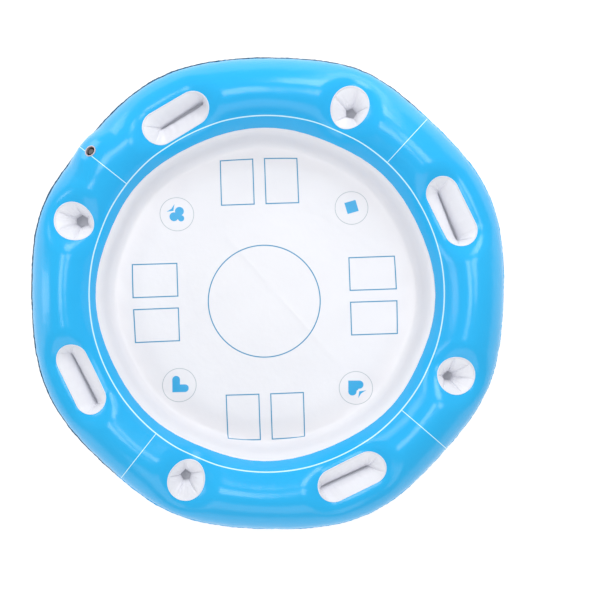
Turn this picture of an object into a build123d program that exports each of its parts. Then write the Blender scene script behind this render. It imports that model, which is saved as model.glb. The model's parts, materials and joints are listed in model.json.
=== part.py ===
from build123d import *
import os
from math import asin, cos, radians, sin

# Inflatable floating card table: a round tube of welded vinyl film with a slack play sheet inside it,
# four round cup wells, four long trays and one push-in inflation valve.
# Millimetres. Origin: the ring's centre, on the surface that the float rests on. +Z is up.

# Ring tube, round in section when inflated
RING_RADIUS = 450.5
TUBE_RADIUS = 77.5
FILM = 1.0

# Each player's quarter of the ring ends at these angles, between two wells. One end runs through the valve
QUARTER_ENDS = (-41.5, 47.5, 141.0, 228.5)

# Weld flanges where the top and bottom films meet
SEAM_HALF_THICKNESS = 1.2
OUTER_SEAM_REACH = 4.0
INNER_SEAM_REACH = 5.0

# Play sheet: a flat middle and a rim that rises to the inner weld flange
SHEET_FLAT_RADIUS = 345.0

# Wells: a tray and a cup for each of four players, placed by hand in the real object, so not
# quite evenly
CUP_ANGLES = (66.0, 159.0, 247.0, 337.0)
CUP_CENTRE_RADIUS = 446.0
CUP_WELL_RADIUS = 44.5
TRAY_ANGLES = (24.0, 117.0, 205.0, 295.0)
TRAY_CENTRE_RADIUS = 440.0
TRAY_WELL_LENGTH = 163.0
TRAY_WELL_WIDTH = 67.0
WELL_FLOOR_HEIGHT = 16.0

# Inflation valve, along its own axis: 0 is the tube's outside, negative is into the tube
VALVE_ANGLE = 141.0
VALVE_CENTRE_RADIUS = 490.0
RECESS_RADIUS = 10.5
NECK_RADIUS = 11.6
LIP_RADIUS = 12.8
LIP_HEIGHT = 0.9
NECK_DEPTH = 3.2
VALVE_FLANGE_RADIUS = 19.0
VALVE_FLANGE_THICKNESS = 1.2
BOOT_WALL = 1.0
BOOT_DEPTH = 11.5
COLLAR_RADIUS = 6.1
STEM_RADIUS = 6.0
STEM_BORE_RADIUS = 4.1
STEM_TOP = -3.8
STEM_BOTTOM = -26.0
PLUG_RADIUS = 6.2
PLUG_THICKNESS = 1.5
PLUG_UNDERSIDE = -3.7
NOSE_TOP_RADIUS = 3.9
NOSE_TIP_RADIUS = 2.4
NOSE_LENGTH = 4.0
HINGE_OFFSET = 7.3
HINGE_TAB_WIDTH = 4.0
STRAP_LOW = -6.5
STRAP_HIGH = -4.0
STRAP_REACH = 8.0
FLAP_GAP = 0.2
FLAP_RADIUS = 5.4
FLAP_THICKNESS = 0.7

MID_HEIGHT = TUBE_RADIUS
TUBE_HEIGHT = 2 * TUBE_RADIUS
OUTER_RADIUS = RING_RADIUS + TUBE_RADIUS
INNER_RADIUS = RING_RADIUS - TUBE_RADIUS
SHEET_EDGE_RADIUS = INNER_RADIUS - INNER_SEAM_REACH


def tube_section(inset):
    """The tube's round section, drawn that far inside its outer surface."""
    return Pos(RING_RADIUS, MID_HEIGHT) * Circle(TUBE_RADIUS - inset)


def spun(section, start=0.0, turn=360.0):
    """A section drawn as (radius, height), turned about the ring's axis."""
    return Rot(0, 0, start) * revolve(Plane.XZ * section, axis=Axis.Z, revolution_arc=turn)


def film_section(start, thickness, upper):
    """Half of the section of a tube wall that starts that far inside the outer surface."""
    side = 1 if upper else -1
    half_plane = Pos(RING_RADIUS, MID_HEIGHT + side * TUBE_RADIUS) * Rectangle(
        2 * TUBE_HEIGHT, TUBE_HEIGHT
    )
    return (tube_section(start) - tube_section(start + thickness)) & half_plane


def well_place(centre_radius, angle):
    """Where a well stands: local X is outward from the ring's centre, local Y runs along the ring."""
    return Rot(0, 0, angle) * Pos(centre_radius, 0, 0)


def cup_outline(grow):
    return Circle(CUP_WELL_RADIUS + grow)


def tray_outline(grow):
    slot = SlotOverall(TRAY_WELL_LENGTH + 2 * grow, TRAY_WELL_WIDTH + 2 * grow)
    return Rot(0, 0, 90) * slot


def prism(outline, low=-FILM, high=TUBE_HEIGHT + FILM):
    return extrude(Pos(0, 0, low) * outline, amount=high - low)


def well_sleeve(place, outline_at, tube):
    """The film that ties the top of the tube to its bottom round a well, held open."""
    return place * (prism(outline_at(FILM)) - prism(outline_at(0.0))) & tube


def well_base(place, outline_at):
    """The film disc welded across the sleeve near its lower end."""
    return place * prism(outline_at(0.0), WELL_FLOOR_HEIGHT - FILM, WELL_FLOOR_HEIGHT)


def valve_plane():
    """The valve's frame: Z is the outward normal of the tube, X points up the slope."""
    tilt = asin((VALVE_CENTRE_RADIUS - RING_RADIUS) / TUBE_RADIUS)
    height = MID_HEIGHT + TUBE_RADIUS * cos(tilt)
    around = radians(VALVE_ANGLE)
    origin = (VALVE_CENTRE_RADIUS * cos(around), VALVE_CENTRE_RADIUS * sin(around), height)
    outward = (sin(tilt) * cos(around), sin(tilt) * sin(around), cos(tilt))
    uphill = (-cos(tilt) * cos(around), -cos(tilt) * sin(around), sin(tilt))
    return Plane(origin=origin, x_dir=uphill, z_dir=outward)


def rod(radius, low, high):
    return Pos(0, 0, low) * Cylinder(
        radius, high - low, align=(Align.CENTER, Align.CENTER, Align.MIN)
    )


def valve_flange(place, tube, inner_band):
    """The lip on the film, the neck through it and the weld flange under it, as one moulding."""
    lip = place * rod(LIP_RADIUS, -NECK_DEPTH, LIP_HEIGHT) - tube
    neck = place * rod(NECK_RADIUS, -NECK_DEPTH, LIP_HEIGHT)
    patch = inner_band & (place * rod(VALVE_FLANGE_RADIUS, -20, 10))
    return lip + neck + patch - place * rod(RECESS_RADIUS, -20, 10)


def valve_boot(place):
    """The recess wall, with the collar that the stem slides through."""
    floor = -BOOT_DEPTH + BOOT_WALL + 0.2
    outline = Polyline(
        (RECESS_RADIUS + BOOT_WALL, -NECK_DEPTH),
        (RECESS_RADIUS, floor + BOOT_WALL),
        (RECESS_RADIUS - 2, -BOOT_DEPTH),
        (COLLAR_RADIUS, -BOOT_DEPTH),
        (COLLAR_RADIUS, floor),
        (RECESS_RADIUS - 2.4, floor),
        (RECESS_RADIUS - BOOT_WALL, floor + BOOT_WALL),
        (RECESS_RADIUS, -NECK_DEPTH),
        close=True,
    )
    return place * revolve(Plane.XZ * make_face(outline), axis=Axis.Z, revolution_arc=360)


def valve_stem(place):
    return place * (
        rod(STEM_RADIUS, STEM_BOTTOM, STEM_TOP) - rod(STEM_BORE_RADIUS, STEM_BOTTOM, STEM_TOP)
    )


def valve_strap(place):
    """The fixed half of the living hinge, on the stem's downhill side."""
    tab = Pos(-STRAP_REACH / 2, 0, (STRAP_LOW + STRAP_HIGH) / 2) * Box(
        STRAP_REACH, HINGE_TAB_WIDTH, STRAP_HIGH - STRAP_LOW
    )
    return place * (tab - rod(STEM_RADIUS, STRAP_LOW - 1, STRAP_HIGH + 1))


def valve_plug(place):
    """A flat head with a tapered nose that shuts the stem's bore, and its half of the hinge."""
    top = PLUG_UNDERSIDE + PLUG_THICKNESS
    head = rod(PLUG_RADIUS, PLUG_UNDERSIDE, top)
    nose = Pos(0, 0, PLUG_UNDERSIDE) * Rot(180, 0, 0) * Cone(
        NOSE_TOP_RADIUS,
        NOSE_TIP_RADIUS,
        NOSE_LENGTH,
        align=(Align.CENTER, Align.CENTER, Align.MIN),
    )
    tab = Pos(-HINGE_OFFSET / 2, 0, top - PLUG_THICKNESS / 2) * Box(
        HINGE_OFFSET, HINGE_TAB_WIDTH, PLUG_THICKNESS
    )
    return place * (head + nose + tab)


def valve_flap(place):
    """The check flap that closes the stem's inner end against the air inside."""
    return place * rod(FLAP_RADIUS, STEM_BOTTOM - FLAP_GAP - FLAP_THICKNESS, STEM_BOTTOM - FLAP_GAP)


def seam_flange(inner, outer, tube):
    band = Circle(outer) - Circle(inner)
    return extrude(
        Pos(0, 0, MID_HEIGHT - SEAM_HALF_THICKNESS) * band, amount=2 * SEAM_HALF_THICKNESS
    ) - tube


def sheet_middle():
    return extrude(Circle(SHEET_FLAT_RADIUS), amount=FILM)


def sheet_rim():
    """The sheet's rim, from the ground up to the tube's inner weld flange."""
    top = MID_HEIGHT - SEAM_HALF_THICKNESS
    outline = Polyline(
        (SHEET_FLAT_RADIUS, 0),
        (SHEET_EDGE_RADIUS + FILM, top),
        (SHEET_EDGE_RADIUS, top),
        (SHEET_FLAT_RADIUS, FILM),
        close=True,
    )
    return spun(make_face(outline))


def build():
    tube = spun(tube_section(0.0))
    place_valve = valve_plane().location
    nodes = {}
    holes = []
    for kind, outline_at, centre_radius, angles in (
        ("cup", cup_outline, CUP_CENTRE_RADIUS, CUP_ANGLES),
        ("tray", tray_outline, TRAY_CENTRE_RADIUS, TRAY_ANGLES),
    ):
        for number, angle in enumerate(angles, start=1):
            place = well_place(centre_radius, angle)
            nodes[f"{kind}_sleeve_{number}"] = well_sleeve(place, outline_at, tube)
            nodes[f"{kind}_base_{number}"] = well_base(place, outline_at)
            holes.append(place * prism(outline_at(FILM)))
    ends = QUARTER_ENDS + (QUARTER_ENDS[0] + 360,)
    valve_hole = place_valve * rod(NECK_RADIUS, -20, 10)
    for number, (start, end) in enumerate(zip(ends, ends[1:]), start=1):
        for side in ("top", "bottom"):
            skin = spun(film_section(0.0, FILM, upper=side == "top"), start, end - start)
            for hole in holes:
                skin = skin - hole
            if side == "top" and start <= VALVE_ANGLE <= end:
                skin = skin - valve_hole
            nodes[f"{side}_skin_{number}"] = skin
    valve_band = spun(film_section(FILM, VALVE_FLANGE_THICKNESS, upper=True))
    nodes["outer_seam"] = seam_flange(OUTER_RADIUS - 1, OUTER_RADIUS + OUTER_SEAM_REACH, tube)
    nodes["inner_seam"] = seam_flange(SHEET_EDGE_RADIUS, INNER_RADIUS + 1, tube)
    nodes["play_sheet"] = sheet_middle()
    nodes["sheet_rim"] = sheet_rim()
    nodes["valve_flange"] = valve_flange(place_valve, tube, valve_band)
    nodes["valve_boot"] = valve_boot(place_valve)
    nodes["valve_stem"] = valve_stem(place_valve)
    nodes["valve_strap"] = valve_strap(place_valve)
    nodes["valve_plug"] = valve_plug(place_valve)
    nodes["valve_flap"] = valve_flap(place_valve)
    return nodes


os.makedirs("parts", exist_ok=True)
for name, shape in build().items():
    export_step(shape, f"parts/{name}.step")
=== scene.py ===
"""Visual model of the inflatable floating card table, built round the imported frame."""
import json
import math

import bpy
import numpy as np
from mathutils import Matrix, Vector


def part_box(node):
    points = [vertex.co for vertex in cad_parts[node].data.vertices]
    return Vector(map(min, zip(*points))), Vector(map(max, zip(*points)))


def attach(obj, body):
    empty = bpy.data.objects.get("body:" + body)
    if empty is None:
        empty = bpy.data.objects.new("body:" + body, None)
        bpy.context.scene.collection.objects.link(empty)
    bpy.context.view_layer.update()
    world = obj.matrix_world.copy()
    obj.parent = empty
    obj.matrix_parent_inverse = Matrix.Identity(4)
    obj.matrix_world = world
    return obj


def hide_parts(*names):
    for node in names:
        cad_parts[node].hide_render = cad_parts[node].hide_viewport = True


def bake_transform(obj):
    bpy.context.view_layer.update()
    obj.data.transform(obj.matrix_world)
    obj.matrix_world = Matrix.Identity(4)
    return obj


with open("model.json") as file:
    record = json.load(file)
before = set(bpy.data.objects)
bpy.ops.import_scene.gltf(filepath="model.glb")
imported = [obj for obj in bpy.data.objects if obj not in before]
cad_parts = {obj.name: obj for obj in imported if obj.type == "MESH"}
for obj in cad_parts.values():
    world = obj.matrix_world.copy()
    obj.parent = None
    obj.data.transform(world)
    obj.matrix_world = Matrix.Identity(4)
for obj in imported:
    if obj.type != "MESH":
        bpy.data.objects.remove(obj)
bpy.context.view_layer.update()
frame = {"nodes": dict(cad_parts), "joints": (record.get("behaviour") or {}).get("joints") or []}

PI = math.pi

# ---- sizes and places

QUARTERS = (1, 2, 3, 4)
# Thickness of a single film
FILM = 0.0006
# How far the outer weld reaches past the tube
SEAM_REACH = 0.004
TUBE_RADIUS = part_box("top_skin_1")[1][2] / 2
SEAM_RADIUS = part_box("outer_seam")[1][0]
RING_RADIUS = SEAM_RADIUS - SEAM_REACH - TUBE_RADIUS
MID = TUBE_RADIUS
SHEET_FLAT_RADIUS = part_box("play_sheet")[1][0]

# The inflated ring: widest and flattest at each well, narrow and round between them. A lean shifts
# its outline to one side, and a stretch makes it oval: how far, and which way
OUTER_BETWEEN = 0.5192
OUTER_LEAN = (0.0037, math.radians(21))
INNER_BETWEEN = 0.3745
INNER_SWELL = 0.0053
INNER_LEAN = (0.0026, math.radians(204))
INNER_STRETCH = (0.0037, math.radians(-4))
HEIGHT_BETWEEN = TUBE_RADIUS - 0.0005
HEIGHT_LOSS = 0.009
MOUTH_DROP = 0.016
MOUTH_DROP_REACH = 0.042
# The film sinks round a mouth only away from the seams: the larger, the nearer to them
MOUTH_DROP_SPREAD = 2.2
# Round the valve the film keeps the plain tube of the frame this far, then leaves it over this far
ROUND_AT_VALVE = (0.022, 0.045)

# How much the section narrows to an edge at the outer and inner seams, 0 for an ellipse
POINTED_OUTER = 0.45
POINTED_INNER = 0.85

# Wrinkles that run out of the weld seams: how deep, how far they reach, and how sharply they end
QUICK_WRINKLE = (0.0003, 0.015, 1.5)
SLOW_WRINKLE = (0.0005, 0.034, 1.6)
INNER_WRINKLE = (0.0002, 0.022, 1.5)
WRINKLE_RADIUS = 0.078
SEAM_LIFT_REACH = 0.25

COLUMNS = 1080
ROWS = 58


def middle(node):
    low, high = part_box(node)
    return (np.array(low) + np.array(high)) / 2


# Mouth of each inflated well. The air pulls each one a little out of place and out of round:
# how far outward and along it sits, its lean in degrees, half sizes outward and along,
# and how much it widens the ring
CUP_MOUTHS = {
    1: (0.0, 0.0, 0, 0.0455, 0.039, 0.0155),
    2: (0.004, 0.003, 12, 0.0425, 0.0385, 0.0145),
    3: (-0.003, -0.002, 0, 0.0435, 0.038, 0.011),
    4: (0.005, -0.0025, 0, 0.0392, 0.039, 0.0115),
}
TRAY_MOUTHS = {
    1: (0.002, 0.0, -2.3, 0.033, 0.0785, 0.0165),
    2: (-0.0085, 0.002, -3.5, 0.0335, 0.0765, 0.0155),
    3: (0.005, -0.002, -0.8, 0.0315, 0.0785, 0.015),
    4: (0.0, 0.0, -1.2, 0.033, 0.077, 0.018),
}


def well(kind, number):
    """A well's place: centre, its outward and along directions, and half sizes of its slot."""
    centre = middle(f"{kind}_sleeve_{number}")[:2]
    outward = centre / np.linalg.norm(centre)
    along = np.array([-outward[1], outward[0]])
    sizes = (CUP_MOUTHS if kind == "cup" else TRAY_MOUTHS)[number]
    shift_out, shift_along, lean, half_out, half_along, swells = sizes
    centre = centre + outward * shift_out + along * shift_along
    c, s = math.cos(math.radians(lean)), math.sin(math.radians(lean))
    outward, along = outward * c - along * s, along * c + outward * s
    if kind == "cup":
        radius, straight, squeeze = half_along, 0.0, half_along / half_out
    else:
        radius, straight, squeeze = half_out, half_along - half_out, 1.0
    return {
        "kind": kind, "number": number, "centre": centre, "outward": outward, "along": along,
        "angle": math.atan2(centre[1], centre[0]), "radius": radius, "straight": straight,
        "squeeze": squeeze, "swells": swells,
    }


WELLS = [well(kind, number) for kind in ("cup", "tray") for number in QUARTERS]
SWELL_ANGLE = {"cup": math.radians(14), "tray": math.radians(17)}

JOINTS = {joint["name"]: joint for joint in frame["joints"]}
VALVE_AXIS = np.array(JOINTS["stem_slide"]["axis"], float)
VALVE_FLAT = math.hypot(VALVE_AXIS[0], VALVE_AXIS[1])
VALVE_OUTWARD = VALVE_AXIS[:2] / VALVE_FLAT
VALVE_PLAN = VALVE_OUTWARD * (RING_RADIUS + TUBE_RADIUS * VALVE_FLAT)
VALVE_POINT = np.array([*VALVE_PLAN, MID + TUBE_RADIUS * VALVE_AXIS[2]])
VALVE_UPHILL = np.array([*(-VALVE_OUTWARD * VALVE_AXIS[2]), VALVE_FLAT])
VALVE_SIDE = np.cross(VALVE_AXIS, VALVE_UPHILL)
VALVE_HOLE = 0.0115


# ---- the inflated surface


def turn_between(a, b):
    return (a - b + PI) % (2 * PI) - PI


def swell(theta, outward=False):
    """1 at a well (or its outward swelling), falling to about 0 halfway to the next one."""
    total = np.zeros_like(theta)
    for w in WELLS:
        near = np.exp(-((turn_between(theta, w["angle"]) / SWELL_ANGLE[w["kind"]]) ** 2))
        total += near * (w["swells"] if outward else 1.0)
    return total if outward else np.minimum(total, 1.0)


def periodic_noise(theta, waves, seed):
    """Smooth noise round the ring: a sum of whole waves with chosen counts and fixed random phases."""
    rng = np.random.default_rng(seed)
    total = np.zeros_like(theta)
    for count in waves:
        total += rng.uniform(0.5, 1.0) * np.sin(count * theta + rng.uniform(0, 2 * PI))
    return total / math.sqrt(len(waves))


def ring_shape(theta):
    """Section centre radius, half width and half height of the tube at each angle."""
    outer = OUTER_BETWEEN + swell(theta, True) + OUTER_LEAN[0] * np.cos(theta - OUTER_LEAN[1])
    inner = inner_radius(theta)
    height = HEIGHT_BETWEEN - HEIGHT_LOSS * swell(theta)
    return (outer + inner) / 2, (outer - inner) / 2, height


def inner_radius(theta):
    """Radius of the ring's inner seam, a little out of round."""
    radius = INNER_BETWEEN - INNER_SWELL * swell(theta)
    radius = radius + INNER_LEAN[0] * np.cos(theta - INNER_LEAN[1])
    return radius + INNER_STRETCH[0] * np.cos(2 * (theta - INNER_STRETCH[1]))


def slot_distance(x, y, w):
    """Signed distance in plan from a well's mouth outline: positive outside."""
    dx, dy = x - w["centre"][0], y - w["centre"][1]
    out = dx * w["outward"][0] + dy * w["outward"][1]
    run = dx * w["along"][0] + dy * w["along"][1]
    over = np.maximum(np.abs(run) - w["straight"], 0.0)
    return np.hypot(out * w["squeeze"], over) - w["radius"]


def smooth(x):
    x = np.clip(x, 0.0, 1.0)
    return x * x * (3 - 2 * x)


def surface(theta, phi):
    """Points of the tube's film. phi is 0 at the outer seam, a quarter turn at the top."""
    centre, half_width, half_height = ring_shape(theta)
    radius = centre + half_width * np.cos(phi)
    pointed = POINTED_OUTER + (POINTED_INNER - POINTED_OUTER) * (1 - np.cos(phi)) / 2
    height = half_height * np.sin(phi) * (1 - pointed + pointed * np.abs(np.sin(phi)))
    cad_radius = RING_RADIUS + TUBE_RADIUS * np.cos(phi)
    cad_height = TUBE_RADIUS * np.sin(phi)
    x, y = radius * np.cos(theta), radius * np.sin(theta)
    to_valve = np.hypot(x - VALVE_PLAN[0], y - VALVE_PLAN[1])
    near_valve = 1 - smooth((to_valve - ROUND_AT_VALVE[0]) / ROUND_AT_VALVE[1])
    near_valve = np.where(np.sin(phi) > 0, near_valve, 0.0)
    radius = radius + (cad_radius - radius) * near_valve
    height = height + (cad_height - height) * near_valve
    x, y = radius * np.cos(theta), radius * np.sin(theta)
    drop = np.sign(height) * MOUTH_DROP * smooth(np.abs(np.sin(phi)) * MOUTH_DROP_SPREAD)
    for w in WELLS:
        away = np.clip(slot_distance(x, y, w) / MOUTH_DROP_REACH, 0.0, 1.0)
        height = height - drop * (1 - away) ** 2
    return np.stack([x, y, MID + height], axis=-1)


def section_angle(x, y, upper):
    """The phi at which the film passes over (or under) a point of the plan."""
    theta = np.arctan2(y, x)
    centre, half_width, _ = ring_shape(theta)
    phi = np.arccos(np.clip((np.hypot(x, y) - centre) / half_width, -0.999, 0.999))
    for _ in range(12):
        miss = np.hypot(x, y) - np.hypot(*np.moveaxis(surface(theta, phi), -1, 0)[:2])
        phi = phi - miss / (half_width * np.maximum(np.sin(phi), 0.2))
    return theta, phi if upper else -phi


def film_height(x, y, upper):
    theta, phi = section_angle(x, y, upper)
    return surface(theta, phi)[..., 2]


def fading(wrinkle, distance):
    depth, reach, power = wrinkle
    return depth * np.exp(-((distance / reach) ** power))


def seam_wrinkles(theta, phi):
    """How far the film stands out of its smooth shape near the two weld seams."""
    outer = np.abs(phi) * WRINKLE_RADIUS
    inner = (PI - np.abs(phi)) * WRINKLE_RADIUS
    seed = 40 if np.mean(phi) > 0 else 60
    quick_waves = periodic_noise(theta, (131, 167, 199, 223, 251, 281), seed)
    slow_waves = periodic_noise(theta, (53, 71, 89, 103), seed + 1)
    strength = 0.75 + 0.35 * periodic_noise(theta, (5, 9, 14, 23), seed + 2)
    at_outer = quick_waves * fading(QUICK_WRINKLE, outer) + slow_waves * fading(SLOW_WRINKLE, outer)
    return strength * at_outer + slow_waves * fading(INNER_WRINKLE, inner)


# ---- mesh helpers


def put_in_scene(name, data):
    thing = bpy.data.objects.new(name, data)
    bpy.context.scene.collection.objects.link(thing)
    return thing


def add_mesh(name, points, faces):
    mesh = bpy.data.meshes.new(name)
    mesh.from_pydata(np.asarray(points, float).tolist(), [], faces)
    mesh.validate()
    mesh.update()
    mesh.polygons.foreach_set("use_smooth", [True] * len(mesh.polygons))
    return put_in_scene(name, mesh)


def grid_faces(rows, columns, closed):
    """Quads of a grid of rows by columns points; closed joins the last column to the first."""
    faces = []
    for r in range(rows - 1):
        here, beyond = r * columns, (r + 1) * columns
        for c in range(columns if closed else columns - 1):
            d = (c + 1) % columns
            faces.append((here + c, here + d, beyond + d, beyond + c))
    return faces


def thicken(piece, offset=-1.0):
    solid = piece.modifiers.new("thickness", "SOLIDIFY")
    solid.thickness = FILM
    solid.offset = offset


def give(piece, material, slot, *nodes):
    """Puts a piece on the float with its material, and hides the frame's nodes it stands for. The slot
    is not used.
    """
    piece.data.materials.append(material)
    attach(piece, "float")
    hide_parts(*nodes)


# ---- shader helpers


def new_material(name):
    material = bpy.data.materials.new(name)
    material.use_nodes = True
    tree = material.node_tree
    tree.nodes.clear()
    shader = tree.nodes.new("ShaderNodeBsdfPrincipled")
    output = tree.nodes.new("ShaderNodeOutputMaterial")
    tree.links.new(shader.outputs["BSDF"], output.inputs["Surface"])
    point = tree.nodes.new("ShaderNodeTexCoord").outputs["Object"]
    return material, tree, shader, point


class Maths:
    """Short names for the sums that draw a printed pattern in a node tree."""

    def __init__(self, tree):
        self.tree = tree

    def op(self, kind, *values, clamp=False):
        node = self.tree.nodes.new("ShaderNodeMath")
        node.operation = kind
        node.use_clamp = clamp
        for socket, value in zip(node.inputs, values):
            if isinstance(value, (int, float)):
                socket.default_value = value
            else:
                self.tree.links.new(value, socket)
        return node.outputs[0]

    def add(self, a, b):
        return self.op("ADD", a, b)

    def sub(self, a, b):
        return self.op("SUBTRACT", a, b)

    def mul(self, a, b):
        return self.op("MULTIPLY", a, b)

    def size(self, a, b):
        return self.op("SQRT", self.add(self.mul(a, a), self.mul(b, b)))

    def most(self, first, *rest):
        for other in rest:
            first = self.op("MAXIMUM", first, other)
        return first

    def least(self, first, *rest):
        for other in rest:
            first = self.op("MINIMUM", first, other)
        return first

    def away(self, a, centre):
        return self.op("ABSOLUTE", self.sub(a, centre))

    def inside(self, distance, edge=0.0003):
        """1 where a signed distance is negative, 0 outside, with a narrow soft edge."""
        return self.op("DIVIDE", self.sub(edge, distance), 2 * edge, clamp=True)


def noise(tree, point, scale, detail):
    node = tree.nodes.new("ShaderNodeTexNoise")
    node.inputs["Scale"].default_value = scale
    node.inputs["Detail"].default_value = detail
    tree.links.new(point, node.inputs["Vector"])
    return node.outputs["Fac"]


def spread(tree, value, low, high):
    """Maps 0..1 to low..high."""
    node = tree.nodes.new("ShaderNodeMapRange")
    node.inputs["To Min"].default_value = low
    node.inputs["To Max"].default_value = high
    tree.links.new(value, node.inputs["Value"])
    return node.outputs["Result"]


def mix_colour(tree, share, first, second):
    """From the first colour at share 0 to the second at 1. A colour is three numbers or a socket."""
    node = tree.nodes.new("ShaderNodeMix")
    node.data_type = "RGBA"
    colours = [s for s in node.inputs if s.type == "RGBA"]
    for socket, value in zip(colours, (first, second)):
        if isinstance(value, tuple):
            socket.default_value = (*value, 1.0)
        else:
            tree.links.new(value, socket)
    tree.links.new(share, node.inputs["Factor"])
    return next(s for s in node.outputs if s.type == "RGBA")


def bumped(tree, shader, *heights):
    """Stacks bumps on a shader: each is a height socket and its depth in metres."""
    previous = None
    for height, depth in heights:
        bump = tree.nodes.new("ShaderNodeBump")
        bump.inputs["Distance"].default_value = depth
        tree.links.new(height, bump.inputs["Height"])
        if previous is not None:
            tree.links.new(previous, bump.inputs["Normal"])
        previous = bump.outputs["Normal"]
    tree.links.new(previous, shader.inputs["Normal"])


def split(tree, vector):
    node = tree.nodes.new("ShaderNodeSeparateXYZ")
    tree.links.new(vector, node.inputs[0])
    return tuple(node.outputs)


def gloss(tree, shader, share, low, high, ior):
    """Uneven roughness between two limits, and the vinyl's index of refraction."""
    tree.links.new(spread(tree, share, low, high), shader.inputs["Roughness"])
    shader.inputs["IOR"].default_value = ior


def painted_glow(shader, colour, strength):
    """Painted glow: an emission that stands in for light passing through a thin film and lifts its
    shaded sides.
    """
    shader.inputs["Emission Color"].default_value = (*colour, 1)
    shader.inputs["Emission Strength"].default_value = strength


# ---- materials

BLUE = (0.022, 0.44, 0.84)
BLUE_DEEP = (0.016, 0.41, 0.8)
# Colour of the blue film's painted glow, an emission that lifts its shaded sides
BLUE_PAINTED_GLOW = (0.01, 0.4, 0.8)
# Painted shade for the weld's edge, standing in for the shadow under the flange
WELD_SHADE = (0.035, 0.075, 0.125)
LINE_WHITE = (0.66, 0.95, 1.0)
FILM_WHITE = (0.78, 0.79, 0.84)
FILM_WHITE_DIM = (0.73, 0.735, 0.79)
# Colour of the white film's painted glow, an emission that lifts the shade in the wells
FILM_PAINTED_GLOW = (0.93, 0.95, 1.0)
SHEET_WHITE = (0.86, 0.856, 0.884)
SHEET_WHITE_DIM = (0.82, 0.816, 0.854)
PRINT_BLUE = (0.022, 0.27, 0.5)
SUIT_BLUE = (0.03, 0.4, 0.75)
PRINT_GREY = (0.44, 0.5, 0.54)
RIM_PINK = ((0.46, 0.37, 0.39), (0.66, 0.56, 0.58))
# Dark colours of the valve's recess: partly smoky vinyl, partly painted shade
RECESS_SMOKE_AND_SHADE = ((0.02, 0.018, 0.02), (0.06, 0.052, 0.056))

# Print on the ring: the white circle and its dividers, on the upper side only
PRINTED_CIRCLE = 0.39
PRINTED_LINE = 0.0011
DIVIDER_LINE = 0.7 * PRINTED_LINE
DIVIDER_ANGLES = (47.4, 141.8, 231.7, 319.3)
PRINT_LOWEST = MID + 0.004
# Painted shade: the weld's edge is darkened, standing in for the shadow under the flange, only on the
# half of the ring that this direction in plan points away from
WELD_BAND = 0.0012
WELD_UNSHADED_WAY = (0.77, -0.64)
VALVE_RIM_RADIUS = 0.0104

# Print on the sheet: half widths of lines, half sizes of shapes, and places from its middle
TABLE_CIRCLE = 0.128
SHEET_LINE = 0.0013
CARD_HALF_WIDTH = 0.0374
CARD_HALF_LENGTH = 0.052
CARD_BESIDE = 0.051
CARD_PLACE = 0.2675
CARD_PLACE_SIDES = 0.249
MEDALLION_PLACE = 0.2015
MEDALLION_RADIUS = 0.0378
MEDALLION_LINE = 0.0007
MEDALLION_SHIFT = (0.0054, 0.0029)
MEDALLION_TURN = 1.4
DIAMOND_HALF = 0.0133
DIAMOND_RISE = 0.002
DIAMOND_TURN = -15.6


def blue_film():
    """Glossy blue vinyl, with the printed white circle and four dividers on its upper side, painted
    shade on one half of the weld's edge, and a faint painted glow.
    """
    material, tree, shader, point = new_material("blue_film")
    m = Maths(tree)
    x, y, z = split(tree, point)
    radius = m.size(x, y)
    lines = m.sub(m.away(radius, PRINTED_CIRCLE), PRINTED_LINE)
    for angle in DIVIDER_ANGLES:
        c, s = math.cos(math.radians(angle)), math.sin(math.radians(angle))
        across = m.away(m.sub(m.mul(y, c), m.mul(x, s)), 0.0)
        along = m.add(m.mul(x, c), m.mul(y, s))
        divider = m.most(m.sub(across, DIVIDER_LINE), m.sub(PRINTED_CIRCLE, along))
        lines = m.least(lines, divider)
    printed = m.inside(m.most(lines, m.sub(PRINT_LOWEST, z)), 0.0004)
    cloudy = noise(tree, point, 7.0, 2.0)
    blue = mix_colour(tree, cloudy, BLUE_DEEP, BLUE)
    # Painted shade: the weld's edge takes WELD_SHADE on one half of the ring only
    toward_unshaded = m.add(m.mul(x, WELD_UNSHADED_WAY[0]), m.mul(y, WELD_UNSHADED_WAY[1]))
    weld = m.most(m.sub(m.away(z, MID), WELD_BAND), m.sub(RING_RADIUS, radius), toward_unshaded)
    blue = mix_colour(tree, m.inside(weld, 0.0002), blue, WELD_SHADE)
    tree.links.new(mix_colour(tree, printed, blue, LINE_WHITE), shader.inputs["Base Color"])
    gloss(tree, shader, noise(tree, point, 60.0, 3.0), 0.18, 0.25, 1.45)
    # Painted glow: a faint blue emission that lifts the film's shaded sides, standing in for light
    # through the film
    painted_glow(shader, BLUE_PAINTED_GLOW, 0.07)
    bumped(tree, shader, (noise(tree, point, 20.0, 2.0), 0.001))
    return material


def white_film():
    """Soft white vinyl of the well sleeves, with a faint painted glow that lifts the shade in the
    wells.
    """
    material, tree, shader, point = new_material("white_film")
    white = mix_colour(tree, noise(tree, point, 18.0, 3.0), FILM_WHITE_DIM, FILM_WHITE)
    tree.links.new(white, shader.inputs["Base Color"])
    gloss(tree, shader, noise(tree, point, 120.0, 2.0), 0.3, 0.45, 1.5)
    # Painted glow: a faint emission that lifts the shade in the wells, standing in for light through
    # the film
    painted_glow(shader, FILM_PAINTED_GLOW, 0.065)
    bumped(tree, shader, (noise(tree, point, 60.0, 3.0), 0.0004))
    return material


def rotated(m, a, b, degrees):
    c, s = math.cos(math.radians(degrees)), math.sin(math.radians(degrees))
    return m.sub(m.mul(a, c), m.mul(b, s)), m.add(m.mul(a, s), m.mul(b, c))


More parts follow.
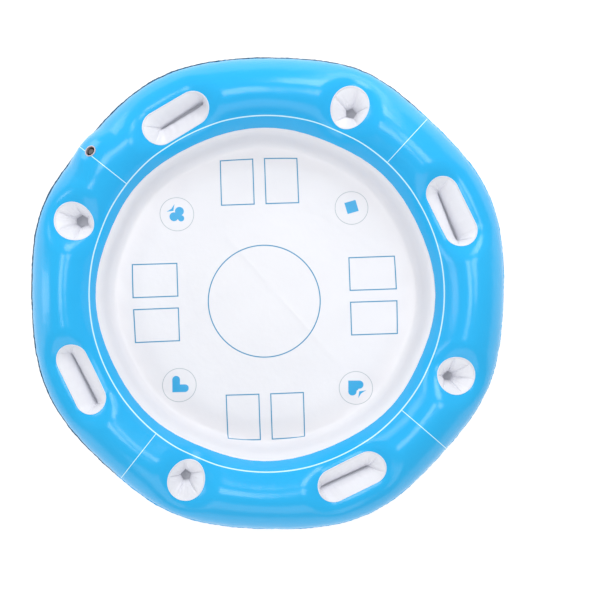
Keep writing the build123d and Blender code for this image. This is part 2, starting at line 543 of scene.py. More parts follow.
def two_arms(m, side, height, corner, arm, radius):
    """Two rounded arms at right angles from one square corner: a heart, or a spade upside down."""
    rise = m.sub(height, corner)
    along = m.mul(m.add(rise, side), math.sqrt(0.5))
    off = m.mul(m.sub(rise, side), math.sqrt(0.5))
    beyond = m.most(m.sub(along, arm), m.mul(along, -1.0), 0.0)
    arms = m.sub(m.size(beyond, off), radius)
    tip = m.sub(m.most(m.away(along, -radius / 2), m.away(off, -radius / 2)), radius / 2)
    return m.least(arms, tip)


def disc(m, side, up, side_at, up_at, radius):
    return m.sub(m.size(m.sub(side, side_at), m.sub(up, up_at)), radius)


def suit_shapes(m, up, across):
    """Signed distances of club, heart and spade, about 40 mm tall. Up is towards the table's centre."""
    side = m.op("ABSOLUTE", across)
    heart = two_arms(m, side, up, -0.0102, 0.0196, 0.0087)
    spade = two_arms(m, side, m.mul(up, -1.0), -0.0112, 0.0157, 0.0094)
    club = m.least(
        disc(m, side, up, 0.0088, -0.0006, 0.01),
        disc(m, side, up, 0.0, 0.013, 0.0072),
        disc(m, side, up, 0.0, 0.005, 0.007),
    )
    flare = m.mul(m.sub(side, m.mul(m.sub(-0.0106, up), 1.35)), 0.6)
    notch = m.mul(m.sub(m.sub(-0.0172, m.mul(side, 0.22)), up), 0.95)
    tail = m.most(flare, notch)
    spade = m.least(spade, disc(m, side, up, 0.0, 0.0035, 0.0095))
    return m.least(club, tail), heart, m.least(spade, tail)


def only(m, distance, *where):
    """A shape kept where every share is 1, and pushed out of reach elsewhere."""
    for share in where:
        distance = m.add(distance, m.sub(1.0, share))
    return distance


def table_lines(m, x, y):
    """Signed distance from the lines of the centre circle and the eight card places."""
    ax, ay = m.op("ABSOLUTE", x), m.op("ABSOLUTE", y)
    circle = m.sub(m.away(m.size(x, y), TABLE_CIRCLE), SHEET_LINE)
    sideways, outward = m.least(ax, ay), m.most(ax, ay)
    nearer = m.mul(m.op("GREATER_THAN", ax, ay), CARD_PLACE - CARD_PLACE_SIDES)
    place = m.sub(CARD_PLACE, nearer)
    across = m.sub(m.away(sideways, CARD_BESIDE), CARD_HALF_WIDTH)
    along = m.sub(m.away(outward, place), CARD_HALF_LENGTH)
    card = m.sub(m.op("ABSOLUTE", m.most(across, along)), SHEET_LINE)
    return m.least(circle, card)


def medallions(m, x, y):
    """Signed distances of the four medallions' rings, and of the suits inside them."""
    x, y = rotated(m, m.sub(x, MEDALLION_SHIFT[0]), m.sub(y, MEDALLION_SHIFT[1]), MEDALLION_TURN)
    across_x = m.sub(m.op("ABSOLUTE", x), MEDALLION_PLACE)
    across_y = m.sub(m.op("ABSOLUTE", y), MEDALLION_PLACE)
    ring = m.sub(m.away(m.size(across_x, across_y), MEDALLION_RADIUS), MEDALLION_LINE)
    up = m.mul(m.add(across_x, across_y), -math.sqrt(0.5))
    across = m.mul(m.sub(across_x, across_y), math.sqrt(0.5))
    club, heart, spade = suit_shapes(m, up, across)
    side_x, side_y = rotated(m, across_x, m.sub(across_y, DIAMOND_RISE), DIAMOND_TURN)
    diamond = m.sub(m.most(m.away(side_x, 0.0), m.away(side_y, 0.0)), DIAMOND_HALF)
    left, low = m.op("LESS_THAN", x, 0.0), m.op("LESS_THAN", y, 0.0)
    right, high = m.sub(1.0, left), m.sub(1.0, low)
    suits = m.least(
        only(m, club, left, high),
        only(m, diamond, right, high),
        only(m, heart, left, low),
        only(m, spade, right, low),
    )
    return ring, suits


def printed_sheet():
    """White vinyl sheet with the printed card places, centre circle and four suit medallions."""
    material, tree, shader, point = new_material("printed_sheet")
    m = Maths(tree)
    uv = tree.nodes.new("ShaderNodeUVMap")
    uv.uv_map = "flat"
    u, v, _ = split(tree, uv.outputs[0])
    x = m.mul(m.sub(u, 0.5), SHEET_CUT)
    y = m.mul(m.sub(v, 0.5), SHEET_CUT)
    ring, suits = medallions(m, x, y)
    colour = mix_colour(tree, noise(tree, point, 9.0, 3.0), SHEET_WHITE_DIM, SHEET_WHITE)
    inks = ((ring, PRINT_GREY), (suits, SUIT_BLUE), (table_lines(m, x, y), PRINT_BLUE))
    for shape, ink in inks:
        colour = mix_colour(tree, m.inside(shape), colour, ink)
    tree.links.new(colour, shader.inputs["Base Color"])
    gloss(tree, shader, noise(tree, point, 40.0, 3.0), 0.34, 0.5, 1.5)
    slack = (noise(tree, point, 9.0, 5.0), 0.0038)
    grain = (noise(tree, point, 45.0, 3.0), 0.0003)
    bumped(tree, shader, slack, grain)
    return material


def distance_from_axis(tree, m, point):
    """How far a point is from the valve's axis."""
    across = tree.nodes.new("ShaderNodeVectorMath")
    across.operation = "SUBTRACT"
    across.inputs[1].default_value = tuple(VALVE_POINT)
    tree.links.new(point, across.inputs[0])
    turned = tree.nodes.new("ShaderNodeVectorMath")
    turned.operation = "CROSS_PRODUCT"
    turned.inputs[1].default_value = tuple(VALVE_AXIS)
    tree.links.new(across.outputs[0], turned.inputs[0])
    x, y, z = split(tree, turned.outputs[0])
    return m.size(m.size(x, y), z)


def valve_vinyl():
    """Slightly cloudy soft vinyl of the valve: pinkish at the rim, and dark in the recess, partly smoky
    vinyl and partly painted shade.
    """
    material, tree, shader, point = new_material("valve_vinyl")
    m = Maths(tree)
    cloudy = noise(tree, point, 150.0, 3.0)
    pink = mix_colour(tree, cloudy, *RIM_PINK)
    smoky_and_shaded = mix_colour(tree, cloudy, *RECESS_SMOKE_AND_SHADE)
    # Painted shade: within the rim radius of the valve's axis the vinyl takes the dark recess colours,
    # partly smoky vinyl and partly the recess's shade
    recess = m.inside(m.sub(distance_from_axis(tree, m, point), VALVE_RIM_RADIUS), 0.0004)
    tree.links.new(mix_colour(tree, recess, pink, smoky_and_shaded), shader.inputs["Base Color"])
    gloss(tree, shader, noise(tree, point, 400.0, 2.0), 0.22, 0.36, 1.5)
    bumped(tree, shader, (noise(tree, point, 500.0, 3.0), 0.00015))
    return material


# ---- ring film

# The ring's grid has its rows crowded towards the seams. Rings of quads that crowd towards each
# well's mouth replace a block of the grid, which reaches past the mouth along and outward
ROW_CROWDING = 0.42
RING_CROWDING = 1.35
BLOCK_RINGS = {"cup": 11, "tray": 11, "valve": 5}
BLOCK_MARGINS = {"cup": (0.026, 0.013), "tray": (0.026, 0.013), "valve": (0.012, 0.01)}
CORE_SPREAD = 1.35


def mouth_outline(w, edge):
    """For points round a well, the mouth's own points facing them."""
    run = (edge - w["centre"]) @ w["along"]
    core_run = run * w["straight"] / np.abs(run).max() * CORE_SPREAD
    core_run = np.clip(core_run, -w["straight"], w["straight"])
    core = w["centre"] + core_run[:, None] * w["along"]
    near, far = np.zeros(len(edge)), np.ones(len(edge))
    for _ in range(40):
        share = (near + far) / 2
        trial = core + (edge - core) * share[:, None]
        outside = slot_distance(trial[:, 0], trial[:, 1], w) > 0
        near, far = np.where(outside, near, share), np.where(outside, share, far)
    return core + (edge - core) * near[:, None]


def block_ranges(w, phis, upper):
    """The columns and rows of the ring's grid that a well's own rings of quads replace."""
    margin_along, margin_out = BLOCK_MARGINS[w["kind"]]
    half_out = w["radius"] / w["squeeze"]
    distance = np.linalg.norm(w["centre"])
    reach = (w["straight"] + w["radius"] + margin_along) / distance
    step = 2 * PI / COLUMNS
    first = int(math.floor((w["angle"] - reach) / step))
    last = int(math.ceil((w["angle"] + reach) / step))
    sign = 1 if upper else -1
    ends = []
    straight_out = w["centre"] / distance
    for radius in (distance + half_out + margin_out, distance - half_out - margin_out):
        x, y = radius * straight_out
        ends.append(abs(float(section_angle(np.array([x]), np.array([y]), upper)[1][0])))
    inside = [i for i, p in enumerate(phis) if ends[0] <= sign * p <= ends[1]]
    return first, last, inside[0] - 1, inside[-1] + 1


VALVE_WELL = {
    "kind": "valve", "centre": VALVE_PLAN, "outward": VALVE_OUTWARD,
    "along": np.array([-VALVE_OUTWARD[1], VALVE_OUTWARD[0]]),
    "angle": math.atan2(VALVE_PLAN[1], VALVE_PLAN[0]), "radius": VALVE_HOLE, "straight": 0.0,
    "squeeze": 1 / VALVE_AXIS[2],
}


def block_edge(first, last, low, high):
    """The grid points round a block of columns and rows, as (row, column), in turning order."""
    edge = [(low, c) for c in range(first, last)]
    edge += [(r, last) for r in range(low, high)]
    edge += [(high, c) for c in range(last, first, -1)]
    edge += [(r, first) for r in range(high, low, -1)]
    return edge


def mouth_rings(w, edge, phis, upper, start):
    """Angles and quads of the rings between a block's edge and the well's mouth."""
    edge_angles = np.array([(2 * PI * c / COLUMNS, phis[r]) for r, c in edge])
    edge_points = surface(edge_angles[:, 0], edge_angles[:, 1])
    outline = mouth_outline(w, edge_points[:, :2])
    theta, phi = section_angle(outline[:, 0], outline[:, 1], upper)
    theta = edge_angles[:, 0] + turn_between(theta, edge_angles[:, 0])
    mouth_angles = np.stack([theta, phi], axis=1)
    previous = [r * COLUMNS + c % COLUMNS for r, c in edge]
    rings, count = BLOCK_RINGS[w["kind"]], len(edge)
    angles, faces = [], []
    for k in range(1, rings + 1):
        share = 1 - (1 - k / rings) ** RING_CROWDING
        angles.append(edge_angles + (mouth_angles - edge_angles) * share)
        current = list(range(start, start + count))
        start += count
        for i in range(count):
            j = (i + 1) % count
            faces.append((previous[i], previous[j], current[j], current[i]))
        previous = current
    return angles, faces


def wrinkled(theta, phi, sign):
    """Points of the film at these angles, with the wrinkles that run out of the seams."""
    points = surface(theta, phi)
    out = np.stack([np.cos(theta), np.sin(theta)], axis=1)
    bump = seam_wrinkles(theta, phi)
    at_seam = np.exp(-((np.abs(np.sin(phi)) / SEAM_LIFT_REACH) ** 2)) * sign
    points[:, :2] += out * (np.cos(phi) * bump)[:, None]
    points[:, 2] += bump * (np.sin(phi) + at_seam)
    return points


def half_ring(upper):
    """Points and quads of the film on one side of the seams, open at its wells."""
    sign = 1 if upper else -1
    share = np.linspace(0, 1, ROWS)
    phis = PI * (share - ROW_CROWDING * np.sin(2 * PI * share) / (2 * PI)) * sign
    thetas = np.arange(COLUMNS) * 2 * PI / COLUMNS
    theta_grid, phi_grid = np.meshgrid(thetas, phis)
    angles = [np.stack([theta_grid.ravel(), phi_grid.ravel()], axis=1)]
    missing = np.zeros((ROWS - 1, COLUMNS), bool)
    faces = []
    for w in WELLS + ([VALVE_WELL] if upper else []):
        first, last, low, high = block_ranges(w, phis, upper)
        for c in range(first, last):
            missing[low:high, c % COLUMNS] = True
        edge = block_edge(first, last, low, high)
        start = sum(len(part) for part in angles)
        rings, ring_faces = mouth_rings(w, edge, phis, upper, start)
        angles += rings
        faces += ring_faces
    grid = grid_faces(ROWS, COLUMNS, True)
    faces += [quad for quad, gone in zip(grid, missing.ravel()) if not gone]
    if not upper:
        faces = [quad[::-1] for quad in faces]
    angles = np.concatenate(angles)
    return wrinkled(angles[:, 0], angles[:, 1], sign), faces


def ring_film(material):
    """The ring's two films, joined at both seams. Gives back the outer seam's points."""
    top, top_faces = half_ring(True)
    bottom, bottom_faces = half_ring(False)
    below = np.arange(len(bottom)) + len(top)
    for row in (0, ROWS - 1):
        seam = slice(row * COLUMNS, (row + 1) * COLUMNS)
        top[seam] = (top[seam] + bottom[seam]) / 2
        below[seam] = np.arange(len(top))[seam]
    faces = top_faces + [tuple(int(below[i]) for i in quad) for quad in bottom_faces]
    used = sorted({i for quad in faces for i in quad})
    number = {old: new for new, old in enumerate(used)}
    faces = [tuple(number[i] for i in quad) for quad in faces]
    points = np.concatenate([top, bottom])[used]
    points[:, 2] = np.maximum(points[:, 2], 0.0)
    piece = add_mesh("ring_film", points, faces)
    nodes = [f"{side}_skin_{q}" for side in ("top", "bottom") for q in QUARTERS]
    give(piece, material, "blue_film", *nodes)
    return top[:COLUMNS]


# Section of the outer weld flange: outward and up from the seam
WELD_REACH = 0.0046
WELD_PROFILE = (
    (-0.0012, -0.0009), (0.0012, -0.0007), (0.0042, -0.0005), (WELD_REACH, 0.0),
    (0.0042, 0.0005), (0.0012, 0.0007), (-0.0012, 0.0009),
)
WELD_CRIMP_OUT = 0.0005
WELD_CRIMP_UP = 0.0013
WELD_WIDEST = math.radians(140)


def outer_weld(material, edge):
    """The narrow welded flange round the outside, crimped by the film's wrinkles."""
    theta = np.arctan2(edge[:, 1], edge[:, 0])
    out = np.stack([np.cos(theta), np.sin(theta), np.zeros_like(theta)], axis=1)
    crimp = 0.4 * periodic_noise(theta, (151, 187, 229, 263, 307), 77)
    width = 0.5 + 0.22 * np.cos(theta - WELD_WIDEST)
    width = width + 0.1 * periodic_noise(theta, (17, 29, 41, 67), 78)
    rows = []
    for reach, rise in WELD_PROFILE:
        share = max(reach, 0.0) / WELD_REACH
        row = edge + out * (reach * width + crimp * WELD_CRIMP_OUT * share)[:, None]
        row[:, 2] += rise + crimp * WELD_CRIMP_UP * share
        rows.append(row)
    piece = add_mesh("outer_weld", np.concatenate(rows), grid_faces(len(rows), len(edge), True))
    give(piece, material, "blue_film", "outer_seam")


# ---- well sleeves

# Waists of the cup sleeves: offset of the gap (outward, along), its size, and its corners in degrees
CUP_WAISTS = {
    1: ((-0.004, -0.0085), 0.0128, (8, 80, 152, 224, 296)),
    2: ((-0.0095, -0.0095), 0.014, (8, 62, 118, 185, 238, 305)),
    3: ((-0.004, -0.006), 0.0125, (0, 62, 135, 205, 285)),
    4: ((-0.011, -0.008), 0.0112, (15, 60, 110, 200, 250, 320)),
}
# Slits of the tray sleeves: ends (outward, along) and half widths at those ends
TRAY_WAISTS = {
    1: ((-0.01, -0.064, 0.0036), (-0.001, 0.052, 0.002)),
    2: ((0.006, -0.07, 0.0048), (0.003, 0.04, 0.0022)),
    3: ((0.001, -0.062, 0.0016), (-0.002, 0.064, 0.003)),
    4: ((-0.003, -0.074, 0.0022), (0.001, 0.044, 0.0024)),
}
# How far a sleeve's film lags behind in a crease, where 1 is not drawn in at all
CUP_CREASE_DEPTH = 0.78
TRAY_CREASE_DEPTH = 0.55
DEEPEST_CREASE = 0.85
SLEEVE_POINTS = {"cup": 260, "tray": 380}
SLEEVE_ROWS = 46
SLEEVE_ARC = math.radians(67)
RIM_PROFILE = ((0.0023, 0.0001), (0.0021, 0.0007), (0.0014, 0.001), (0.0006, 0.0009), (0.0, 0.0005))
RIM_LOWEST = 0.0004
RIPPLE_ACROSS = 0.012
RIPPLE_UP = 0.0008
BASE_EDGE_HEIGHT = 0.0225
BASE_SAG = 0.003
BASE_RINGS = 9


def sleeve_outline(w, count):
    """Evenly spaced points round the mouth, in (outward, along), with the outward unit normal."""
    straight, radius = w["straight"], w["radius"]
    half_way = 2 * straight + PI * radius
    points, normals = [], []
    for run in np.arange(count) / count * 2 * half_way:
        inward_half, run = divmod(run, half_way)
        side = 1 - 2 * inward_half
        turn = max(run - 2 * straight, 0.0) / radius
        start = min(run - straight, straight)
        normals.append((side * math.cos(turn), side * math.sin(turn)))
        out = side * radius * math.cos(turn) / w["squeeze"]
        points.append((out, side * (start + radius * math.sin(turn))))
    return np.array(points), np.array(normals)


def polygon_radius(angles, corners, size):
    """Radius of a straight-sided polygon with these corner angles, in each direction."""
    corners = np.radians(np.array(corners, float))
    places = size * np.stack([np.cos(corners), np.sin(corners)], axis=1)
    result = np.full_like(angles, np.inf)
    for i in range(len(corners)):
        a, b = places[i], places[(i + 1) % len(corners)]
        edge = b - a
        normal = np.array([edge[1], -edge[0]]) / np.linalg.norm(edge)
        facing = np.cos(angles) * normal[0] + np.sin(angles) * normal[1]
        reach = (a @ normal) / np.maximum(facing, 1e-6)
        result = np.minimum(result, np.where(facing > 1e-6, reach, np.inf))
    return result


def near_crease(angles, width, corner, power):
    """1 on a crease at that corner, falling over its width in degrees."""
    away = np.abs(turn_between(angles, corner))
    return np.exp(-((away / math.radians(width)) ** power))


def cup_waist(w, outline):
    """Where each point of the mouth goes at the waist, and how strongly it lags in a crease."""
    offset, size, corners = CUP_WAISTS[w["number"]]
    angles = np.arctan2(outline[:, 1] - offset[1] * 0.5, outline[:, 0] - offset[0] * 0.5)
    reach = polygon_radius(angles, corners, size)
    waist = np.stack([np.cos(angles), np.sin(angles)], axis=1) * reach[:, None] + np.array(offset)
    rng = np.random.default_rng(100 + w["number"])
    lag = np.zeros(len(outline))
    for corner in corners:
        near = near_crease(angles, rng.uniform(3.5, 6), math.radians(corner), 1.1)
        lag += CUP_CREASE_DEPTH * rng.uniform(0.8, 1.1) * near
    for _ in range(9):
        near = near_crease(angles, rng.uniform(2.5, 5), rng.uniform(-PI, PI), 1.3)
        lag += rng.uniform(0.04, 0.13) * near
    return waist, np.clip(lag, 0, DEEPEST_CREASE)


def tray_waist(w, outline):
    """The same for a tray: it shuts to a slit that narrows from one end to the other."""
    (r0, t0, h0), (r1, t1, h1) = TRAY_WAISTS[w["number"]]
    run = outline[:, 1]
    half = w["straight"] + w["radius"]
    share = (run + half) / (2 * half)
    share = 0.5 - 0.5 * np.cos(np.clip(share, 0, 1) * PI)
    share = 0.5 * share + 0.5 * np.clip((run - t0) / (t1 - t0), 0, 1)
    along = t0 + (t1 - t0) * share
    line = r0 + (r1 - r0) * share
    half_gap = (h0 + (h1 - h0) * share) * np.sqrt(np.clip(1 - (2 * share - 1) ** 8, 0, 1))
    side = np.clip(outline[:, 0] / w["radius"], -1, 1)
    waist = np.stack([line + half_gap * np.sign(side) * np.abs(side) ** 0.5, along], axis=1)
    rng = np.random.default_rng(200 + w["number"])
    lag = np.zeros(len(outline))
    for end, centre in ((-1, -w["straight"]), (1, w["straight"])):
        angles = np.arctan2((run - centre) * end, outline[:, 0])
        beyond = (run - centre) * end > 0
        for corner in (rng.uniform(35, 60), rng.uniform(115, 145)):
            near = near_crease(angles, rng.uniform(3.5, 6), math.radians(corner), 1.1)
            lag += beyond * TRAY_CREASE_DEPTH * rng.uniform(0.8, 1.1) * near
        for _ in range(4):
            near = near_crease(angles, rng.uniform(3, 6), math.radians(rng.uniform(20, 160)), 1.3)
            lag += beyond * rng.uniform(0.05, 0.14) * near
    return waist, np.clip(lag, 0, DEEPEST_CREASE)


def to_plan(w, local):
    return w["centre"] + local[:, :1] * w["outward"] + local[:, 1:] * w["along"]


def rim(w, outline, normals, upper):
    """Rows of the small rolled lip that welds the sleeve to the ring's film, outermost first."""
    rows = []
    for reach, rise in RIM_PROFILE:
        plan = to_plan(w, outline + normals * reach)
        level = film_height(plan[:, 0], plan[:, 1], upper)
        level = level + rise if upper else np.maximum(level - rise, RIM_LOWEST)
        rows.append(np.column_stack([plan, level]))
    return rows


def sleeve(w, material):
    """The white film tube of one well: bulged by the air until it nearly shuts at mid height."""
    count = SLEEVE_POINTS[w["kind"]]
    outline, normals = sleeve_outline(w, count)
    waist, lag = (cup_waist if w["kind"] == "cup" else tray_waist)(w, outline)
    turn = np.arange(count) / count * 2 * PI
    ripple = periodic_noise(turn, (5, 9, 14, 19, 27), 400 + w["number"] + len(w["kind"]))
    x, y = to_plan(w, outline).T
    high, low = film_height(x, y, True), film_height(x, y, False)
    rows = rim(w, outline, normals, True)
    for k in range(SLEEVE_ROWS + 1):
        alpha = SLEEVE_ARC * (1 - 2 * k / SLEEVE_ROWS)
        bulge = (math.cos(alpha) - math.cos(SLEEVE_ARC)) / (1 - math.cos(SLEEVE_ARC))
        rise = math.sin(alpha) / math.sin(SLEEVE_ARC)
        share = bulge * (1 - lag * (1 - bulge) ** 0.8)
        share = share * (1 + RIPPLE_ACROSS * ripple * bulge * (1 - bulge) * 4)
        local = outline + (waist - outline) * share[:, None]
        height = (high + low) / 2 + (high - low) / 2 * rise + RIPPLE_UP * ripple * bulge
        rows.append(np.column_stack([to_plan(w, local), height]))
    rows += rim(w, outline, normals, False)[::-1]
    name = f"{w['kind']}_sleeve_film_{w['number']}"
    piece = add_mesh(name, np.concatenate(rows), grid_faces(len(rows), count, True))
    give(piece, material, "white_film", f"{w['kind']}_sleeve_{w['number']}")
    base(w, rows, material)


def base(w, rows, material):
    """The well's floor film, a shallow dish hung in the lower end of the sleeve."""
    lower_rows = rows[len(rows) // 2:]
    ring = min(lower_rows, key=lambda row: abs(np.mean(row[:, 2]) - BASE_EDGE_HEIGHT))
    level, count = ring[:, 2].mean(), len(ring)
    centre = np.array([*w["centre"], level])
    points = []
    for k in range(BASE_RINGS):
        share = 1 - k / BASE_RINGS
        row = centre + (ring - centre) * share
        row[:, 2] -= BASE_SAG * (1 - share * share)
        points.append(row)
    points.append(centre[None] - (0, 0, BASE_SAG))
    hub, last = BASE_RINGS * count, (BASE_RINGS - 1) * count
    faces = grid_faces(BASE_RINGS, count, True)
    faces += [(last + i, last + (i + 1) % count, hub) for i in range(count)]
    name = f"{w['kind']}_base_film_{w['number']}"
    piece = add_mesh(name, np.concatenate(points), [f[::-1] for f in faces])
    thicken(piece)
    give(piece, material, "white_film", f"{w['kind']}_base_{w['number']}")


# ---- play sheet

SHEET_CUT = 0.85
SHEET_RADIUS = SHEET_CUT / 2
SHEET_RINGS = 84
SHEET_SPOKES = 240
ART_CENTRE = (-0.005, -0.016)
ART_TURN = math.radians(2.0)
# The sheet's wall: how much of the cut sheet it takes, how wide it is in plan, how far its edge is
# past the ring's inner seam and below the middle height, and how its section bends
EDGE_RUN = 0.0885
WALL_WIDTH = 0.035
EDGE_PAST_SEAM = 0.0006
EDGE_BELOW_MID = 0.001
WALL_SWING = 0.09
WALL_EASE = 0.55
SHEET_LOWEST = 0.0006
# The film on the ground: how high it lies, its hills near the wall, the swelling inside them,
# and the valley at the wall's foot (depth, radius, width)
LIE_HEIGHT = 0.0016
HILLS = 0.0012
SWELLING = 0.004
VALLEY = (0.0014, 0.338, 0.012)
# Fold lines left from packing: from, to, height, and how soon they fade to each side
FOLDS = (
    ((-0.107, 0.15), (0.176, -0.172), 0.0016, 0.006),
    ((-0.25, -0.12), (-0.06, 0.04), 0.001, 0.007),
    ((0.06, 0.23), (0.29, 0.08), 0.001, 0.007),
)
# Parts of the slack film that have crept on the ground: from and to across, from and to along,
# and how far. First the far, near, left and right card places, then the four medallions
CREEP_EDGE = 0.025
CREEPS = (
    ((-0.11, 0.11), (0.19, 0.4), (-0.002, 0.0075)),
    ((-0.11, 0.11), (-0.4, -0.22), (-0.0064, 0.003)),
    ((-0.4, -0.19), (-0.125, 0.1), (0.0, 0.005)),
    ((0.18, 0.4), (-0.125, 0.1), (0.0, 0.0042)),
    ((0.16, 0.245), (0.145, 0.235), (-0.0049, 0.007)),
    ((-0.245, -0.16), (0.145, 0.235), (-0.0006, -0.0044)),
    ((-0.245, -0.16), (-0.26, -0.17), (0.0009, 0.0096)),
    ((0.16, 0.245), (-0.26, -0.17), (0.0003, -0.002)),
)
# The left places are also narrower: from here, over this far, between these, and by how much
LEFT_SQUEEZE = (0.2, 0.1, (-0.125, 0.1), 0.0055)


def sheet_profile(flat_radius, theta):
    """Radius and height of the sheet at a distance from its middle: flat, a soft rise, then steep."""
    edge_radius = inner_radius(theta) + EDGE_PAST_SEAM
    share = np.clip((SHEET_RADIUS - flat_radius) / EDGE_RUN, 0, 1)
    foot = edge_radius - WALL_WIDTH
    flat_foot = SHEET_RADIUS - EDGE_RUN
    across = share + WALL_SWING * np.sin(2 * PI * share)
    down = (1 - WALL_EASE) * share + WALL_EASE * smooth(share)
    radius = np.where(
        share < 1,
        edge_radius + (foot - edge_radius) * across,
        flat_radius + (foot - flat_foot) * (flat_radius / flat_foot) ** 6,
    )
    return radius, (MID - EDGE_BELOW_MID) * (1 - down)


def printed_places(flat):
    """Where each point of the cut sheet lies in the print, from 0 to 1 each way."""
    c, s = math.cos(ART_TURN), math.sin(ART_TURN)
    x, y = (flat - slip(flat) - np.array(ART_CENTRE)).T
    return np.column_stack([x * c + y * s, -x * s + y * c]) / SHEET_CUT + 0.5


def play_sheet(material):
    """The slack printed sheet, flat on the ground and drawn up to the ring's inner seam."""
    shares = np.linspace(0, 1, SHEET_RINGS + 1)[1:]
    theta = np.arange(SHEET_SPOKES) * 2 * PI / SHEET_SPOKES
    points, flat = [], []
    for radius in SHEET_RADIUS * (1 - (1 - shares) ** 1.25):
        r, h = sheet_profile(np.full(SHEET_SPOKES, radius), theta)
        points.append(np.column_stack([r * np.cos(theta), r * np.sin(theta), h]))
        flat.append(np.column_stack([radius * np.cos(theta), radius * np.sin(theta)]))
    points = settle(np.concatenate([*points, [[0, 0, 0]]]))
    flat = np.concatenate([*flat, [[0, 0]]])
    hub = SHEET_RINGS * SHEET_SPOKES
    faces = grid_faces(SHEET_RINGS, SHEET_SPOKES, True)
    faces += [((i + 1) % SHEET_SPOKES, i, hub) for i in range(SHEET_SPOKES)]
    piece = add_mesh("play_sheet_film", points, [f[::-1] for f in faces])
    corners = np.zeros(len(piece.data.loops), np.int64)
    piece.data.loops.foreach_get("vertex_index", corners)
    layer = piece.data.uv_layers.new(name="flat")
    layer.data.foreach_set("uv", printed_places(flat)[corners].ravel())
    give(piece, material, "printed_sheet", "play_sheet", "sheet_rim", "inner_seam")


def window(values, low, high):
    """1 between two limits, falling to 0 a little way outside them."""
    return smooth((values - low) / CREEP_EDGE + 1) * smooth((high - values) / CREEP_EDGE + 1)


def slip(flat):
    """How far the slack film has crept on the ground at each of its points."""
    x, y = flat[:, 0], flat[:, 1]
    total = np.zeros_like(flat)
    for across, along, creep in CREEPS:
        share = window(x, *across) * window(y, *along)
        total += share[:, None] * np.array(creep)
    start, over, along, squeeze = LEFT_SQUEEZE
    total[:, 0] += squeeze * smooth((-x - start) / over) * window(y, *along)
    return total


def settle(points):
    """Soft hills and creases of the slack film where it lies on the ground."""
    radius = np.hypot(points[:, 0], points[:, 1])
    theta = np.arctan2(points[:, 1], points[:, 0])
    lie = smooth((SHEET_FLAT_RADIUS + 0.012 - radius) / 0.03)
    hills = HILLS * periodic_noise(theta, (9, 14, 23, 31), 8) * smooth((radius - 0.22) / 0.12)
    swelling = SWELLING * smooth((0.33 - radius) / 0.05) * smooth((radius - 0.18) / 0.12)
    points[:, 2] += lie * (LIE_HEIGHT + lie * hills + swelling)
    depth, place, width = VALLEY
    points[:, 2] -= depth * np.exp(-(((radius - place) / width) ** 2))
    for fold in FOLDS:
        points[:, 2] += crease(points, *fold)
    points[:, 2] = np.maximum(points[:, 2], SHEET_LOWEST)
    return points


def crease(points, start, end, height, width):
    """A straight fold line left from packing."""
    a, b = np.array(start), np.array(end)
    length = np.linalg.norm(b - a)
    way = (b - a) / length
    along = (points[:, :2] - a) @ way
    across = (points[:, :2] - a) @ np.array([-way[1], way[0]])
    ends = smooth(along / 0.05) * smooth((length - along) / 0.05)
    return height * ends * np.exp(-np.abs(across) / width)


# ---- valve

# Radius and height of the boot's film, and the strap's line from the stem to the plug, both from
# the point where the valve's axis leaves the ring
BOOT_PROFILE = (
    (0.0108, -0.0026), (0.0105, -0.0034), (0.0101, -0.0048), (0.0098, -0.0064), (0.0094, -0.008),
    (0.0087, -0.0093), (0.0078, -0.0101), (0.0069, -0.0105), (0.0062, -0.0107),
)
BOOT_POINTS = 72
STRAP_LINE = (
    (-0.0058, -0.0058), (-0.0066, -0.0057), (-0.0073, -0.005), (-0.0077, -0.004),
    (-0.0077, -0.0031), (-0.0073, -0.0025), (-0.0066, -0.0023), (-0.0058, -0.0023),
)
STRAP_WIDTH = (-0.0017, -0.0006, 0.0006, 0.0017)


def valve_spot(x, y, z):
    return VALVE_POINT + x * VALVE_UPHILL + y * VALVE_SIDE + z * VALVE_AXIS


def boot(material):
    """The soft recess wall, a fixed shape here; on the real valve it turns inside out when the stem is
    pulled out.
    """
    points = []
    for radius, height in BOOT_PROFILE:
        for k in range(BOOT_POINTS):
            a = 2 * PI * k / BOOT_POINTS
            points.append(valve_spot(radius * math.cos(a), radius * math.sin(a), height))
    faces = grid_faces(len(BOOT_PROFILE), BOOT_POINTS, True)
    piece = add_mesh("valve_boot_film", points, faces)
    thicken(piece)
    piece.data.materials.append(material)
    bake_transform(piece)
    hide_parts("valve_boot")


def strap(material):
    """The thin living hinge between the stem and the plug."""
    points = [valve_spot(x, side, z) for x, z in STRAP_LINE for side in STRAP_WIDTH]
    faces = grid_faces(len(STRAP_LINE), len(STRAP_WIDTH), False)
    piece = add_mesh("valve_strap_film", points, faces)
    thicken(piece, 0.0)
    piece.data.materials.append(material)
    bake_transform(piece)
    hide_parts("valve_strap")


def valve(material):
    boot(material)
    strap(material)
    for node in ("valve_flange", "valve_stem", "valve_plug", "valve_flap"):
        for material_slot in frame["nodes"][node].material_slots:
            material_slot.material = material


# ---- stage, light and camera

FLOOR = 60.0
FLOOR_LEVEL = -0.001
FLOOR_GREY = 0.3
# The floor's glow, which fades under the float from this radius over this distance, a painted shadow
# under the float
FLOOR_GLOW = 0.84
FLOOR_GLOW_IN_PAINTED_SHADOW = 0.1
FLOOR_SHADE = (0.485, 0.05)
WORLD_WHITE = (1.0, 0.99, 0.985, 1)
WORLD_STRENGTH = 0.42
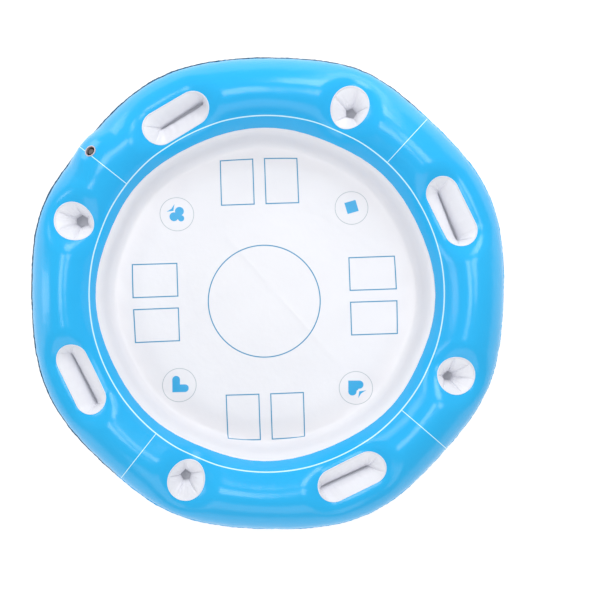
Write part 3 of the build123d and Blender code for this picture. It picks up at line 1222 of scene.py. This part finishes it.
# Soft boxes: place, the point that each faces, its two sizes in metres, and its power in watts
LIGHTS = {
    "key_high": ((0.95, 2.8, 2.5), (0, 0, 0.1), (1.4, 1.4), 35),
    "key_low": ((1.1, 2.45, 0.85), (0, 0, 0.1), (1.0, 1.6), 13),
    "overhead_left": ((-0.35, 0.35, 2.65), (-0.35, 0.35, 0), (0.8, 1.2), 15),
    "overhead_right": ((0.95, 0.6, 2.6), (0.9, 0.5, 0), (1.0, 1.0), 14),
    "left_strip": ((-2.6, 0.0, 0.6), (0, 0, 0.1), (0.6, 1.3), 8),
    "corner_strip": ((-1.9, 1.8, 0.5), (0, 0, 0.1), (0.8, 1.3), 10),
    "front_fill": ((-0.3, -3.0, 1.9), (0, 0, 0.1), (3.6, 1.8), 30),
}
CAMERA_HEIGHT = 2.55
CAMERA_PLACE = (-0.0022, -0.0167)
LENS = 66.8
SHIFT = (0.0575, 0.0025)


def area_light(name, place, target, size, power):
    data = bpy.data.lights.new(name, "AREA")
    data.shape = "RECTANGLE"
    data.size, data.size_y = size
    data.energy = power
    lamp = put_in_scene(name, data)
    lamp.location = place
    lamp.rotation_euler = (Vector(target) - Vector(place)).to_track_quat("-Z", "Y").to_euler()


def floor():
    """A wide white floor that lights the float from all round, with a painted shadow where its glow
    fades under the float.
    """
    corners = ((-1, -1), (1, -1), (1, 1), (-1, 1))
    points = [(FLOOR * a, FLOOR * b, FLOOR_LEVEL) for a, b in corners]
    piece = add_mesh("floor", points, [(0, 1, 2, 3)])
    material, tree, shader, point = new_material("floor_paper")
    m = Maths(tree)
    x, y, _ = split(tree, point)
    # Painted shadow: the floor's glow fades under the float
    outside_painted_shadow = m.op("DIVIDE", m.sub(m.size(x, y), FLOOR_SHADE[0]), FLOOR_SHADE[1], clamp=True)
    strength = spread(tree, outside_painted_shadow, FLOOR_GLOW_IN_PAINTED_SHADOW, FLOOR_GLOW)
    tree.links.new(strength, shader.inputs["Emission Strength"])
    shader.inputs["Emission Color"].default_value = (1, 1, 1, 1)
    shader.inputs["Base Color"].default_value = (FLOOR_GREY, FLOOR_GREY, FLOOR_GREY, 1)
    shader.inputs["Roughness"].default_value = 0.9
    piece.data.materials.append(material)


def stage():
    floor()
    world = bpy.data.worlds.new("studio")
    bpy.context.scene.world = world
    world.use_nodes = True
    background = world.node_tree.nodes["Background"]
    background.inputs["Color"].default_value = WORLD_WHITE
    background.inputs["Strength"].default_value = WORLD_STRENGTH
    for name, light in LIGHTS.items():
        area_light(name, *light)


def camera():
    bpy.context.scene.view_settings.view_transform = "Standard"
    data = bpy.data.cameras.new("camera")
    data.lens = LENS
    data.shift_x, data.shift_y = SHIFT
    eye = put_in_scene("camera", data)
    eye.location = (*CAMERA_PLACE, CAMERA_HEIGHT)
    bpy.context.scene.camera = eye


# ---- build

camera()
stage()
blue_vinyl = blue_film()
white_vinyl = white_film()
outer_weld(blue_vinyl, ring_film(blue_vinyl))
for place in WELLS:
    sleeve(place, white_vinyl)
play_sheet(printed_sheet())
valve(valve_vinyl())
